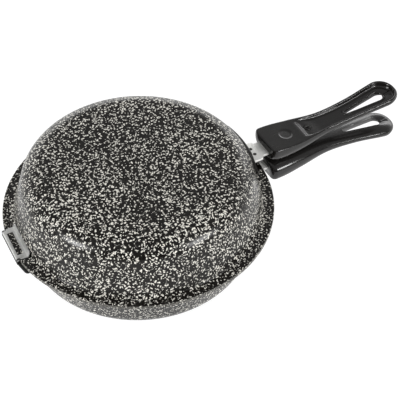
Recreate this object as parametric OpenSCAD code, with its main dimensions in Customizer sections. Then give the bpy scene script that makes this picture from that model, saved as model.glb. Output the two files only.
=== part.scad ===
// Double sided flip pan: two round pressed halves that close rim to rim, a hinge at the back
// and a moulded handle on each half.
//
// Frame: the origin is the centre of the lower half's base, on the surface it stands on. +Z is up,
// and both handles point along +X. The hinge is at the back, a few degrees off the handle line.
// Each half is drawn once, "outward" from the plane where the rims meet: its height h is 0 at the
// rims and grows towards its base. The upper half is raised to the rim plane, and the lower half
// is the same part mirrored in it.

/* [Pan halves] */
// Outer radius of the wall where it meets the rim
rim_r = 120; // [105:0.5:140]
// How much smaller the radius of the flat base is
base_step = 32; // [26:0.5:38]
// Width of the flat rim flange
flange_w = 10; // [9:0.5:14]
// Depth of one half, from its rim to the outside of its base
pan_depth = 54; // [48:0.5:64]
// Radius of the rounded shoulder between base and wall, outside
corner_r = 23; // [16:0.5:27]
// Sheet thickness of base and wall
wall_t = 2; // [1.5:0.1:2.6]
// Sheet thickness of the rim flange
flange_t = 2; // [1.6:0.1:2.4]
// Radius of the fillet between wall and flange
flange_fillet = 1.6; // [1:0.1:2]
// Radius of the rounded inner lip
lip_r = 1.5; // [0.8:0.1:1.8]

/* [Handle bracket] */
// Thickness of the curved mounting plate on the wall
plate_t = 3.2; // [2:0.1:3.4]
// Angle of the wall that the mounting plate covers, in degrees
plate_arc = 25; // [20:1:30]
// Height where the plate starts, above the rim plane
plate_low = 5; // [4.5:0.5:7]
// Height where the plate ends, above the rim plane
plate_high = 35; // [33:0.5:36.5]
// How far the plate's shelf reaches past the rim flange
shelf_past = 3; // [2:0.5:7]
// Half width of the shelf
shelf_half = 12; // [10:0.5:13]
// Thickness of the shelf
shelf_t = 2.5; // [2:0.1:2.8]
// Thickness of the steel tongue
tongue_t = 2.5; // [2:0.1:2.8]
// Height of the tongue's outer face above the rim plane
tongue_top = 11; // [10.6:0.1:11.4]
// Half width of the tongue at the pan
tongue_root_half = 13; // [11.5:0.5:14]
// Half width of the tongue inside the handle
tongue_half = 9.5; // [8.5:0.25:10.5]
// How far the tongue reaches past the handle screw
tongue_past = 11.5; // [10:0.5:13]
// Distance between tongue root and mounting plate
tongue_gap = 0.4; // [0.2:0.1:0.8]

/* [Rivets and screw] */
// Shank radius of the rivets through the wall
wall_rivet_r = 2.4; // [2:0.1:2.8]
// Head radius of the rivets through the wall
wall_rivet_head_r = 4.5; // [4:0.1:5]
// Head thickness of the rivets through the wall
wall_rivet_head_t = 1.6; // [1.2:0.1:2]
// Height of those rivets above the rim plane
wall_rivet_h = 23; // [20:0.5:26]
// Angle from the handle line to each wall rivet, in degrees
wall_rivet_turn = 6.5; // [6:0.25:7.5]
// Shank radius of the two rivets that hold the tongue
tongue_rivet_r = 1.1; // [0.9:0.1:1.4]
// Head radius of the two rivets that hold the tongue
tongue_rivet_head_r = 1.8; // [1.6:0.1:2.2]
// Head thickness of the two rivets that hold the tongue
tongue_rivet_head_t = 0.7; // [0.5:0.1:1]
// Distance of the tongue rivets from the shelf's edge
tongue_rivet_in = 6; // [4:0.25:7]
// Distance of each tongue rivet from the handle line
tongue_rivet_y = 4; // [3.5:0.1:6]
// Thread radius of the handle screw
screw_r = 2.5; // [2:0.1:2.8]
// Head radius of the handle screw
screw_head_r = 3.7; // [3.4:0.1:3.9]
// Head thickness of the handle screw
screw_head_t = 1.9; // [1.6:0.1:2.1]
// Distance of the handle screw from the handle's pan end
screw_in = 50.5; // [48:0.5:52]
// Thickness of the washer under the screw head
washer_t = 0.5; // [0.4:0.1:0.7]
// Outer radius of the washer
washer_r = 3.9; // [3.7:0.1:4]
// Width of the square nut
nut_w = 8; // [7:0.25:8.5]
// Thickness of the square nut
nut_t = 2.8; // [2.4:0.1:3]

/* [Handle] */
// Gap between the shelf and the handle
handle_gap = 7; // [5:0.5:10]
// Length of the handle
handle_len = 154.5; // [150:0.5:165]
// Half width of the handle beside the pan
handle_end_half = 20.4; // [19:0.1:21]
// Half width of the handle at its waist
waist_half = 13.8; // [13.2:0.1:14.6]
// Half width of the handle's hanging loop
loop_half = 17.4; // [16.5:0.1:18.5]
// Height of the handle's outer face beside the pan, above the rim plane
outer_near = 19.6; // [19.4:0.1:20.6]
// Height of the outer face at the waist
outer_waist = 16.7; // [16.6:0.1:17.6]
// Height of the outer face at the far end
outer_far = 25.6; // [25:0.2:28]
// Height of the crowned grip face beside the pan
crown_near = 1; // [0.6:0.1:1.5]
// Height of the crowned grip face at the waist
crown_waist = 6; // [5.4:0.1:6.4]
// Height of the crowned grip face at the far end
crown_far = 15.2; // [14:0.1:15.8]
// Width of the rim wall around the handle's recess
rim_wall = 3.2; // [2.6:0.1:3.6]
// Depth of the recess around the screw
recess_near = 2.2; // [2:0.1:2.4]
// Depth of the recess along the grip
recess_depth = 3.6; // [3:0.1:4.2]
// Depth of the recess in the loop
recess_loop = 5.2; // [4.4:0.1:5.6]
// Radius of the wide end of the hanging slot
slot_wide_r = 5.8; // [5:0.1:6.2]
// Radius of the narrow end of the hanging slot
slot_narrow_r = 2.2; // [2:0.1:2.6]
// Width of the raised collar around the hanging slot
slot_collar = 2.4; // [2:0.1:2.6]
// Height of that collar above the recess floor
collar_t = 1.2; // [0.8:0.1:1.6]
// Distance of the slot's narrow end centre from the handle's pan end
slot_in = 96.5; // [92:0.5:101]
// Distance from the handle's tip to the slot's wide end centre
slot_from_tip = 21; // [20.5:0.5:23]
// Radius of the round moulded dimple beside the pan
dimple_r = 7.4; // [6.5:0.1:8]
// Depth of the dimple
dimple_depth = 0.9; // [0.6:0.1:1.4]
// Distance of the dimple from the handle's pan end
dimple_in = 24.5; // [21:0.5:26]

/* [Hinge] */
// Angle from the point opposite the handles to the hinge, in degrees
hinge_turn = 4.5; // [0:0.5:5]
// Length of both hinge leaves, along the rim
hinge_len = 42; // [40:0.5:43]
// Length of the rolled barrel
barrel_len = 38; // [36:0.5:39]
// Depth of the flat that is cut into both rims for the barrel
flat_in = 2.2; // [2:0.1:2.6]
// Sheet thickness of the upper hinge leaf
leaf_t = 0.8; // [0.7:0.05:0.9]
// Sheet thickness of the lower hinge leaf
lower_leaf_t = 1.2; // [1:0.1:1.5]
// Height of the leaves' upright legs above their flange
leaf_leg = 5.6; // [4.5:0.1:6.5]
// Length of the window in the upper leaf
window_len = 30; // [24:0.5:32]
// Width of the window
window_w = 6; // [4:0.1:6.4]
// Distance of the window's outer edge from the flange's edge
window_edge = 1.6; // [1.5:0.1:2]
// Radius of the hinge pin
pin_r = 0.8; // [0.7:0.05:0.9]
// Radius of the hinge pin's flattened ends
pin_head_r = 1.3; // [1.2:0.05:1.5]
// Thickness of the hinge pin's flattened ends
pin_head_t = 0.5; // [0.4:0.05:0.6]
// Thickness of the lower leaf's ears
ear_t = 1.2; // [1:0.1:1.4]
// How far the lower leaf's thumb tab stands out past the rim flange
tab_past = 2.6; // [2:0.1:4]
// Length of the thumb tab beyond the ear
tab_len = 15; // [12:0.5:18]

/* [Hidden] */
$fn = 96;

enamel = "#2a2824";
bakelite = "#2d2b2a";
zinc = "#c9cac8";
steel = "#a9aaab";
// Clearance of a screw or rivet in its hole
hole_clear = 0.1;
// Clearance of tongue and nut in the handle's slot
slot_clear = 0.15;
// Running clearance of the hinge pin in its barrel
pin_clear = 0.06;
// Side clearance between barrel and ears, and between barrel and rims
side_clear = 0.3;
// How far a rivet head sinks into a curved wall, so that it seats all round
seat = 0.08;
// Cutting tools reach this far past a face
over = 1;

base_r = rim_r - base_step;
flange_r = rim_r + flange_w;
shelf_reach = flange_r + shelf_past;
tongue_rivet_x = shelf_reach - tongue_rivet_in;
handle_start = shelf_reach + handle_gap;
handle_end = handle_start + handle_len;
screw_x = handle_start + screw_in;
tongue_tip = screw_x + tongue_past;
slot_start = handle_start + slot_in;
dimple_x = handle_start + dimple_in;
flat_x = flange_r - flat_in;
window_out = flange_r - window_edge;
window_in = window_out - window_w;
tab_r = flange_r + tab_past;

// The wall is the line from the rim that touches the shoulder's circle.
shoulder = [base_r, pan_depth - corner_r];
shoulder_slope = atan2(shoulder[1], rim_r - base_r);
shoulder_far = norm([rim_r - base_r, shoulder[1]]);
wall_lean = acos(corner_r / shoulder_far) - shoulder_slope;
wall_out = [cos(wall_lean), sin(wall_lean)];
// Radius of the wall's outer face at height h
function wall_x(h) = rim_r - h * tan(wall_lean);
// Radius of a face that lies d outside the wall's outer face, at height h
function off_wall(h, d) = wall_x(h) + d / cos(wall_lean);

module outward_up() {
    translate([0, 0, pan_depth]) children();
}

module outward_down() {
    translate([0, 0, pan_depth]) mirror([0, 0, 1]) children();
}

// ---- pan half ----

// Everything inside the half's outer face, moved inwards by t, from the height low up
module pan_outline(t, low) {
    polygon([
        [0, low],
        [off_wall(low, -t), low],
        shoulder + (corner_r - t) * wall_out,
        shoulder,
        [base_r, pan_depth - t],
        [0, pan_depth - t]
    ]);
    translate(shoulder) intersection() {
        circle(corner_r - t);
        square(corner_r);
    }
}

module flange_fillet_outline() {
    centre = [off_wall(flange_t + flange_fillet, flange_fillet), flange_t + flange_fillet];
    difference() {
        polygon([
            [wall_x(flange_t) - wall_t / 2, flange_t - flange_t / 2],
            [centre[0], flange_t - flange_t / 2],
            centre,
            centre - flange_fillet * wall_out - [wall_t / 2, 0]
        ]);
        translate(centre) circle(flange_fillet);
    }
}

module lip_round_outline() {
    centre = [off_wall(lip_r, lip_r - wall_t), lip_r];
    difference() {
        polygon([[centre[0] - lip_r - over, -over], [centre[0], -over], centre, [centre[0] - lip_r - over, lip_r]]);
        translate(centre) circle(lip_r);
    }
}

module pan_profile() {
    difference() {
        union() {
            pan_outline(0, 0);
            translate([rim_r - wall_t, 0]) square([flange_r - rim_r + wall_t, flange_t]);
            flange_fillet_outline();
        }
        pan_outline(wall_t, -over);
        lip_round_outline();
    }
}

module at_hinge() {
    rotate([0, 0, 180 - hinge_turn]) children();
}

module pan_half() {
    difference() {
        rotate_extrude($fn = 180) pan_profile();
        at_hinge() translate([flat_x, -flange_r / 2, -over]) cube([flange_r, flange_r, flange_t + 2 * over]);
        wall_rivet_places() rivet_shank(wall_rivet_r + hole_clear, over);
    }
}

// ---- bracket: mounting plate, tongue and their rivets ----

// Puts its children on the wall's outer face, with their +Z along the wall's outward normal
module wall_rivet_places() {
    for (side = [-1, 1])
        rotate([0, 0, side * wall_rivet_turn])
            translate([wall_x(wall_rivet_h), 0, wall_rivet_h])
                rotate([0, 90 - wall_lean, 0]) children();
}

module rivet_shank(r, past) {
    translate([0, 0, -wall_t - past]) cylinder(r = r, h = wall_t + plate_t + 2 * past);
}

// A low domed head that stands on z = 0
module domed_head(r, t, $fn = 48) {
    ball = (r * r + t * t) / (2 * t);
    intersection() {
        cylinder(r = r, h = t);
        translate([0, 0, t - ball]) sphere(ball, $fn = 96);
    }
}

module plate_rivets() {
    wall_rivet_places() {
        rivet_shank(wall_rivet_r, seat);
        translate([0, 0, plate_t - seat]) domed_head(wall_rivet_head_r, wall_rivet_head_t);
        translate([0, 0, seat - wall_t]) mirror([0, 0, 1]) domed_head(wall_rivet_head_r, wall_rivet_head_t);
    }
}

module mount_plate() {
    shelf_top = tongue_top - tongue_t;
    difference() {
        union() {
            rotate([0, 0, -plate_arc / 2]) rotate_extrude(angle = plate_arc, $fn = 180) polygon([
                [off_wall(plate_low, 0), plate_low],
                [off_wall(plate_low, plate_t), plate_low],
                [off_wall(plate_high, plate_t), plate_high],
                [off_wall(plate_high, 0), plate_high]
            ]);
            difference() {
                translate([rim_r - plate_t, -shelf_half, shelf_top - shelf_t])
                    cube([shelf_reach - rim_r + plate_t, 2 * shelf_half, shelf_t]);
                rotate_extrude($fn = 180) polygon([
                    [0, 0], [off_wall(0, plate_t / 2), 0],
                    [off_wall(plate_high, plate_t / 2), plate_high], [0, plate_high]
                ]);
            }
        }
        wall_rivet_places() rivet_shank(wall_rivet_r + hole_clear, over);
        tongue_rivet_places() tongue_rivet_hole();
    }
}

module tongue_outline() {
    root = off_wall(tongue_top - tongue_t, plate_t) + tongue_gap;
    neck = handle_start - 4;
    tip = tongue_tip - tongue_half;
    polygon([
        [root, -tongue_root_half], [shelf_reach - tongue_half / 2, -tongue_root_half], [neck, -tongue_half],
        [tip, -tongue_half], [tip, tongue_half],
        [neck, tongue_half], [shelf_reach - tongue_half / 2, tongue_root_half], [root, tongue_root_half]
    ]);
    translate([tip, 0]) circle(tongue_half);
}

module tongue() {
    difference() {
        translate([0, 0, tongue_top - tongue_t]) linear_extrude(tongue_t) tongue_outline();
        tongue_rivet_places() tongue_rivet_hole();
        translate([screw_x, 0, 0]) cylinder(r = screw_r + hole_clear, h = tongue_top + over);
    }
}

module tongue_rivet_places() {
    for (side = [-1, 1])
        translate([tongue_rivet_x, side * tongue_rivet_y, 0]) children();
}

module tongue_rivet_hole() {
    translate([0, 0, tongue_top - tongue_t - shelf_t - over])
        cylinder(r = tongue_rivet_r + hole_clear, h = tongue_t + shelf_t + 2 * over);
}

module tongue_rivets() {
    stack = tongue_t + shelf_t;
    tongue_rivet_places() {
        translate([0, 0, tongue_top - stack]) cylinder(r = tongue_rivet_r, h = stack);
        translate([0, 0, tongue_top]) domed_head(tongue_rivet_head_r, tongue_rivet_head_t);
        translate([0, 0, tongue_top - stack]) mirror([0, 0, 1])
            domed_head(tongue_rivet_head_r, tongue_rivet_head_t);
    }
}

// ---- handle and its screw ----

// Stations along the handle: distance from the pan axis, half width, outer height, crown height
waist_x = handle_start + (handle_end - handle_start) * 0.44;
loop_x = handle_end - loop_half;
stations = [
    [handle_start, handle_end_half - 0.4, outer_near, crown_near + 0.6],
    [handle_start + 16, handle_end_half, outer_near - 1.2, crown_near],
    [handle_start + 36, handle_end_half - 1.9, outer_waist + 0.4, crown_near + 1.1],
    [waist_x, waist_half, outer_waist, crown_waist],
    [(waist_x + loop_x) / 2, (waist_half + loop_half) / 2 - 1.2, (outer_waist + outer_far) / 2 - 1.8,
        (crown_waist + crown_far) / 2 + 0.2],
    [loop_x, loop_half, outer_far - 1.4, crown_far - 0.6],
    [handle_end, loop_half, outer_far, crown_far]
];

function station_after(x, i = 1) = i == len(stations) - 1 || x <= stations[i][0] ? i : station_after(x, i + 1);
function slope_at(i, k) =
    let (a = stations[max(i - 1, 0)], b = stations[min(i + 1, len(stations) - 1)])
    (b[k] - a[k]) / (b[0] - a[0]);
// Value k at distance x along the handle, on one smooth curve through the stations
function along(x, k) =
    let (i = station_after(x), a = stations[i - 1], b = stations[i], d = b[0] - a[0], u = (x - a[0]) / d)
    a[k] * (1 - 3 * u * u + 2 * u * u * u) + b[k] * (3 * u * u - 2 * u * u * u)
    + slope_at(i - 1, k) * d * (u - 2 * u * u + u * u * u) + slope_at(i, k) * d * (u * u * u - u * u);

// The corners beside the pan and the far end are round in plan.
corner_round = 5;
tip_turns = [15, 30, 43, 55, 66, 76, 84];
body_step = 8;
near_cuts = [0, 0.3, 0.9, 2, corner_round];
body_cuts = [for (x = [handle_start + corner_round + body_step:body_step:loop_x - body_step / 2]) x];
function near_half(d) = along(handle_start + d, 1)
    - corner_round + sqrt(pow(corner_round, 2) - pow(corner_round - d, 2)) * 0.999;
// Each cut: distance, half width, outer height, crown height
cuts = concat(
    [for (d = near_cuts) [handle_start + d, near_half(d), along(handle_start + d, 2) - (d == 0 ? 0.8 : 0),
        along(handle_start + d, 3) + (corner_round - d) * 0.25]],
    [for (x = body_cuts) [x, along(x, 1), along(x, 2), along(x, 3)]],
    [for (b = concat([0], tip_turns)) let (x = loop_x + loop_half * sin(b))
        [x, loop_half * cos(b), along(x, 2) - (1 - cos(b)) * 1.6, along(x, 3) + (1 - cos(b)) * 3.4]]
);

// Section of the handle, from its flat outer face (0) to its crown (1), on a half width of 1
roundness = 0.82;
side_depth = 0.3;
function rounded(v) = sign(v) * pow(abs(v), roundness);
section = concat(
    [[0.9, 0], [0.975, 0.03]],
    [for (a = [0:11.25:180]) [rounded(cos(a)), side_depth + (1 - side_depth) * rounded(sin(a))]],
    [[-0.975, 0.03], [-0.9, 0]]
);

module handle_body() {
    n = len(section);
    m = len(cuts);
    points = [for (c = cuts) for (p = section) [c[0], c[1] * p[0], c[2] - (c[2] - c[3]) * p[1]]];
    skin = [for (i = [0:m - 2]) for (j = [0:n - 1]) for (half = [0, 1])
        let (a = i * n + j, b = i * n + (j + 1) % n, c = a + n, d = b + n)
        half == 0 ? [a, b, c] : [b, d, c]];
    ends = [[for (j = [n - 1:-1:0]) j], [for (j = [0:n - 1]) (m - 1) * n + j]];
    polyhedron(points, concat(skin, ends));
}

// Plan of the recess: the handle's outline moved in by its rim wall, square with round corners at
// the screw and round at the tip
recess_start = screw_x - 7.5;
recess_round = 5;
module recess_plan() {
    ends = [for (d = [0, 0.4, 1.2, 2.6, recess_round]) [recess_start + d, along(recess_start + d, 1)
        - rim_wall - recess_round + sqrt(pow(recess_round, 2) - pow(recess_round - d, 2))]];
    xs = [for (x = [recess_start + recess_round + body_step:body_step:loop_x - body_step / 2]) x];
    side = concat(ends, [for (x = xs) [x, along(x, 1) - rim_wall]], [[loop_x, loop_half - rim_wall]]);
    polygon(concat(side, [for (i = [len(side) - 1:-1:0]) [side[i][0], -side[i][1]]]));
    translate([loop_x, 0]) circle(loop_half - rim_wall);
}

module slot_plan(grow) {
    far = handle_end - slot_from_tip;
    wide = slot_wide_r + grow;
    narrow = slot_narrow_r + grow;
    turn = asin((wide - narrow) / (far - slot_start));
    translate([slot_start, 0]) circle(narrow);
    translate([far, 0]) circle(wide);
    polygon([
        [slot_start - narrow * sin(turn), narrow * cos(turn)], [far - wide * sin(turn), wide * cos(turn)],
        [far - wide * sin(turn), -wide * cos(turn)], [slot_start - narrow * sin(turn), -narrow * cos(turn)]
    ]);
}

// Depth of the recess at distance x along the handle
function recess_at(x) = recess_depth + (recess_loop - recess_depth)
    * min(1, max(0, (x - waist_x) / (loop_x - waist_x)));

// Everything that lies above the recess floor by at least lift, seen from the side
module recess_side(lift) {
    high = outer_far + 5;
    ramp = screw_x + 8;
    xs = [for (x = [ramp + body_step:body_step:handle_end]) x];
    polygon(concat(
        [[recess_start - over, along(screw_x, 2) - recess_near + lift],
            [ramp, along(ramp, 2) - recess_near + lift]],
        [for (x = xs) [x, along(x, 2) - recess_at(x) + lift]],
        [[handle_end + over, along(handle_end, 2) - recess_loop + lift], [handle_end + over, high],
            [recess_start - over, high]]
    ));
}

module recess() {
    tall = outer_far + 10;
    for (part = [0, 1])
        intersection() {
            linear_extrude(tall) recess_plan();
            if (part == 0) difference() {
                linear_extrude(tall) recess_plan();
                linear_extrude(tall) slot_plan(slot_collar);
            }
            else linear_extrude(tall) slot_plan(slot_collar);
            translate([0, outer_far, 0]) rotate([90, 0, 0]) linear_extrude(2 * outer_far)
                recess_side(part * collar_t);
        }
}

// Height of the seat under the screw head
screw_seat = tongue_top + 1.2;

module tongue_slot() {
    low = tongue_top - tongue_t - slot_clear;
    translate([handle_start - over, -tongue_half - slot_clear, low])
        cube([tongue_tip - tongue_half - handle_start + over, 2 * (tongue_half + slot_clear), tongue_top - low]);
    translate([tongue_tip - tongue_half, 0, low]) cylinder(r = tongue_half + slot_clear, h = tongue_top - low);
    translate([handle_start - over, -nut_w / 2 - slot_clear, tongue_top - tongue_t - nut_t - slot_clear])
        cube([screw_x + nut_w / 2 + slot_clear - handle_start + over, nut_w + 2 * slot_clear,
            nut_t + 2 * slot_clear]);
}

module handle() {
    difference() {
        handle_body();
        recess();
        linear_extrude(outer_far + 10) slot_plan(0);
        tongue_slot();
        translate([screw_x, 0, tongue_top - over]) cylinder(r = screw_r + hole_clear, h = outer_far);
        translate([screw_x, 0, screw_seat]) cylinder(r = washer_r + hole_clear, h = outer_far);
        translate([dimple_x, 0, along(dimple_x, 2) - dimple_depth]) cylinder(r = dimple_r, h = outer_far);
    }
}

module handle_screw() {
    head = screw_seat + washer_t;
    low = tongue_top - tongue_t - nut_t;
    translate([screw_x, 0, 0]) difference() {
        union() {
            translate([0, 0, low]) cylinder(r = screw_r, h = head - low);
            translate([0, 0, head]) cylinder(r = screw_head_r, h = screw_head_t);
        }
        for (turn = [0, 90])
            rotate([0, 0, turn]) translate([-screw_r, -screw_r / 5, head + screw_head_t * 0.35])
                cube([2 * screw_r, screw_r * 0.4, screw_head_t]);
    }
}

module screw_washer() {
    translate([screw_x, 0, screw_seat]) difference() {
        cylinder(r = washer_r, h = washer_t);
        translate([0, 0, -over]) cylinder(r = screw_r + hole_clear, h = washer_t + 2 * over);
    }
}

module square_nut() {
    translate([screw_x, 0, tongue_top - tongue_t - nut_t]) difference() {
        translate([-nut_w / 2, -nut_w / 2, 0]) cube([nut_w, nut_w, nut_t]);
        translate([0, 0, -over]) cylinder(r = screw_r, h = nut_t + 2 * over);
    }
}

// ---- hinge, drawn with +X outwards at the hinge and h = 0 at the rims ----

barrel_r = pin_r + pin_clear + leaf_t;
hinge_x = flat_x + side_clear + barrel_r;
hinge_h = flange_t + leaf_t - barrel_r;
ear_y = barrel_len / 2 + side_clear;

// A leaf seen from the end: a plate on the flange and a leg up the wall
module leaf_outline(t, reach) {
    foot = flange_t + flange_fillet + t;
    translate([off_wall(flange_t, 0) + flange_fillet, flange_t])
        square([reach - off_wall(flange_t, 0) - flange_fillet, t]);
    polygon([
        [off_wall(foot, seat), foot], [off_wall(flange_t, 0) + flange_fillet, flange_t],
        [off_wall(flange_t, 0) + flange_fillet + t, flange_t + t], [off_wall(foot, seat + t), foot],
        [off_wall(flange_t + leaf_leg, seat + t), flange_t + leaf_leg],
        [off_wall(flange_t + leaf_leg, seat), flange_t + leaf_leg]
    ]);
}

module along_hinge(length) {
    translate([0, length / 2, 0]) rotate([90, 0, 0]) linear_extrude(length) children();
}

module hinge_leaf_upper() {
    color(zinc) outward_up() at_hinge() difference() {
        union() {
            along_hinge(hinge_len) leaf_outline(leaf_t, flat_x);
            along_hinge(barrel_len) leaf_outline(leaf_t, hinge_x);
            along_hinge(barrel_len) translate([hinge_x, hinge_h]) circle(barrel_r);
        }
        along_hinge(hinge_len + 2 * over) translate([hinge_x, hinge_h]) circle(pin_r + pin_clear);
        translate([window_in, -window_len / 2, flange_t - over])
            cube([window_out - window_in, window_len, leaf_t + 2 * over]);
    }
}

module ear() {
    along_hinge(ear_t) difference() {
        union() {
            translate([hinge_x, hinge_h]) circle(barrel_r);
            translate([hinge_x - barrel_r, -flange_t - lower_leaf_t])
                square([2 * barrel_r, hinge_h + flange_t + lower_leaf_t]);
        }
        translate([hinge_x, hinge_h]) circle(pin_r);
    }
}

module hinge_leaf_lower() {
    color(enamel) {
        outward_down() at_hinge() along_hinge(hinge_len) leaf_outline(lower_leaf_t, hinge_x + barrel_r);
        outward_up() at_hinge() {
            for (side = [-1, 1])
                translate([0, side * (ear_y + ear_t / 2), 0]) ear();
            translate([0, 0, -flange_t - lower_leaf_t]) linear_extrude(lower_leaf_t) intersection() {
                difference() {
                    circle(tab_r, $fn = 180);
                    circle(rim_r + flange_fillet + wall_t, $fn = 180);
                }
                translate([flat_x - 12, ear_y]) square([flange_r, ear_t + tab_len]);
            }
        }
    }
}

module hinge_pin() {
    half = ear_y + ear_t;
    color(steel) outward_up() at_hinge() translate([hinge_x, 0, hinge_h]) rotate([90, 0, 0]) {
        translate([0, 0, -half]) cylinder(r = pin_r, h = 2 * half);
        for (side = [0, 1])
            mirror([0, 0, side]) translate([0, 0, half]) cylinder(r = pin_head_r, h = pin_head_t);
    }
}

module lower_pan() { color(enamel) outward_down() pan_half(); }
module lower_mount_plate() { color(enamel) outward_down() mount_plate(); }
module lower_plate_rivets() { color(steel) outward_down() plate_rivets(); }
module lower_tongue() { color(zinc) outward_down() tongue(); }
module lower_tongue_rivets() { color(steel) outward_down() tongue_rivets(); }
module lower_handle() { color(bakelite) outward_down() handle(); }
module lower_handle_screw() { color(steel) outward_down() handle_screw(); }
module lower_screw_washer() { color(zinc) outward_down() screw_washer(); }
module lower_square_nut() { color(zinc) outward_down() square_nut(); }
module upper_pan() { color(enamel) outward_up() pan_half(); }
module upper_mount_plate() { color(enamel) outward_up() mount_plate(); }
module upper_plate_rivets() { color(steel) outward_up() plate_rivets(); }
module upper_tongue() { color(zinc) outward_up() tongue(); }
module upper_tongue_rivets() { color(steel) outward_up() tongue_rivets(); }
module upper_handle() { color(bakelite) outward_up() handle(); }
module upper_handle_screw() { color(steel) outward_up() handle_screw(); }
module upper_screw_washer() { color(zinc) outward_up() screw_washer(); }
module upper_square_nut() { color(zinc) outward_up() square_nut(); }

lower_pan();
lower_mount_plate();
lower_plate_rivets();
lower_tongue();
lower_tongue_rivets();
lower_handle();
lower_handle_screw();
lower_screw_washer();
lower_square_nut();
upper_pan();
upper_mount_plate();
upper_plate_rivets();
upper_tongue();
upper_tongue_rivets();
upper_handle();
upper_handle_screw();
upper_screw_washer();
upper_square_nut();
hinge_leaf_upper();
hinge_leaf_lower();
hinge_pin();
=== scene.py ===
# %% [markdown]
# # A double sided flip pan
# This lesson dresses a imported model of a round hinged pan: two pressed halves that close rim to
# rim, and a moulded handle on each half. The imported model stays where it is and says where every
# piece goes. We build better looking pieces in mesh code, in metres, and let each one ride on the
# body that it belongs to, so that the lid still turns on its hinge.

from math import acos, asin, atan2, copysign, cos, degrees, hypot, pi, radians, sin, sqrt, tan

import bmesh
import bpy
from mathutils import Matrix, Vector


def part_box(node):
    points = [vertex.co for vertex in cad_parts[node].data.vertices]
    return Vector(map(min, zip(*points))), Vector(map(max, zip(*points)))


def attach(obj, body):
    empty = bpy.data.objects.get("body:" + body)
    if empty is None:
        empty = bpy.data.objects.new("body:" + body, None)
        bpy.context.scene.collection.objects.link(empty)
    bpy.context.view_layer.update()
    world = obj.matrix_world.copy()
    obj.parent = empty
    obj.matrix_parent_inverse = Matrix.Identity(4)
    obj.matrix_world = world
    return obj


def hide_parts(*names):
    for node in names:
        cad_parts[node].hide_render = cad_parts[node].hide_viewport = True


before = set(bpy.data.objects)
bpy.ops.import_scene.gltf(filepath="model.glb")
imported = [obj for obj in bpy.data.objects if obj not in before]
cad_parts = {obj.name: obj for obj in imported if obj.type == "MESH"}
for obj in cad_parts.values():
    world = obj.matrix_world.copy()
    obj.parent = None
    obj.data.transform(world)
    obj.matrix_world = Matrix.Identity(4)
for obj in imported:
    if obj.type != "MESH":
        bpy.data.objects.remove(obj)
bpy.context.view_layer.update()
MM = 0.001

# %% [markdown]
# ## The sizes that everything shares
# The halves meet in one level plane, and each half is the same shape, once upwards and once
# downwards. So every piece of a half is drawn "outwards" from that plane, with a height h, and is
# then placed twice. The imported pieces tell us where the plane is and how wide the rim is.

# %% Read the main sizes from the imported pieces
pan_low, pan_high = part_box("upper_pan")
grip_low, grip_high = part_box("upper_handle")
screw_low, screw_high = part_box("upper_handle_screw")
RIM_Z = pan_low.z
FLANGE_R = pan_high.y / MM
PAN_DEPTH = (pan_high.z - RIM_Z) / MM
HANDLE_START = grip_low.x / MM
HANDLE_END = grip_high.x / MM
SCREW_X = (screw_low.x + screw_high.x) / 2 / MM
HALVES = {"upper": 1, "lower": -1}
print(f"rim plane {RIM_Z / MM:.1f} mm up, flange radius {FLANGE_R:.1f} mm, half depth {PAN_DEPTH:.1f} mm")

# %% [markdown]
# ## Shader maths as plain expressions
# A finish is a small sum: a dark colour, plus flecks where a noise is high, minus a little gloss
# where it is worn. Written as node links that is hard to read, so one small class wraps a socket
# and turns +, - and * into Math nodes. Every other node comes from one method, which takes its
# type, its settings and what goes into its sockets.

# %% One class for values
class Value:
    def __init__(self, finish, socket):
        self.finish, self.socket = finish, socket

    def maths(self, operation, a, b):
        return self.finish.node("Math", {"operation": operation}, {0: a, 1: b})

    def __add__(self, other):
        return self.maths("ADD", self, other)

    def __sub__(self, other):
        return self.maths("SUBTRACT", self, other)

    def __rsub__(self, other):
        return self.maths("SUBTRACT", other, self)

    def __mul__(self, other):
        return self.maths("MULTIPLY", self, other)

    __radd__ = __add__
    __rmul__ = __mul__


print("a value adds its own Math nodes")


# %% One class for finishes
class Finish:
    library, shader_name, coordinates = bpy.data.materials, "Principled BSDF", "Object"

    def __init__(self, name):
        self.material = self.library.new(name)
        self.material.use_nodes = True
        self.tree = self.material.node_tree
        self.shader = self.tree.nodes[self.shader_name]
        self.place = self.node("TexCoord", out=self.coordinates)

    def node(self, kind, settings=None, inputs=None, out=0):
        new = self.tree.nodes.new("ShaderNode" + kind)
        for key, value in (settings or {}).items():
            setattr(new, key, value)
        for key, value in (inputs or {}).items():
            self.feed(new.inputs[key], value)
        return Value(self, new.outputs[out])

    def feed(self, socket, value):
        if isinstance(value, Value):
            self.tree.links.new(value.socket, socket)
        else:
            socket.default_value = value

    def vector(self, operation, a, b=None, out="Vector", **sockets):
        inputs = {0: a, **sockets} if b is None else {0: a, 1: b, **sockets}
        return self.node("VectorMath", {"operation": operation}, inputs, out)

    def noise(self, size_mm, detail=2.0, roughness=0.5, place=None):
        return self.node("TexNoise", None, {"Vector": place or self.place, "Scale": 1000 / size_mm,
            "Detail": detail, "Roughness": roughness}, out="Fac")

    def step(self, value, low, high, to_low=0.0, to_high=1.0):
        return self.node("MapRange", {"interpolation_type": "SMOOTHSTEP"}, {"Value": value,
            "From Min": low, "From Max": high, "To Min": to_low, "To Max": to_high})

    def mix(self, amount, a, b):
        return self.node("Mix", {"data_type": "RGBA"},
            {"Factor": amount, "A": (*a, 1) if isinstance(a, tuple) else a,
             "B": (*b, 1) if isinstance(b, tuple) else b}, out="Result")

    def bump(self, height, depth_mm):
        return self.node("Bump", None,
            {"Height": height, "Distance": depth_mm * MM, "Strength": 0.5})

    def shine(self, **sockets):
        for key, value in sockets.items():
            self.feed(self.shader.inputs[key.replace("_", " ")], value)
        return self.material


print("a finish is an object with .node, .vector, .noise, .step, .mix, .bump and .shine")

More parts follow.
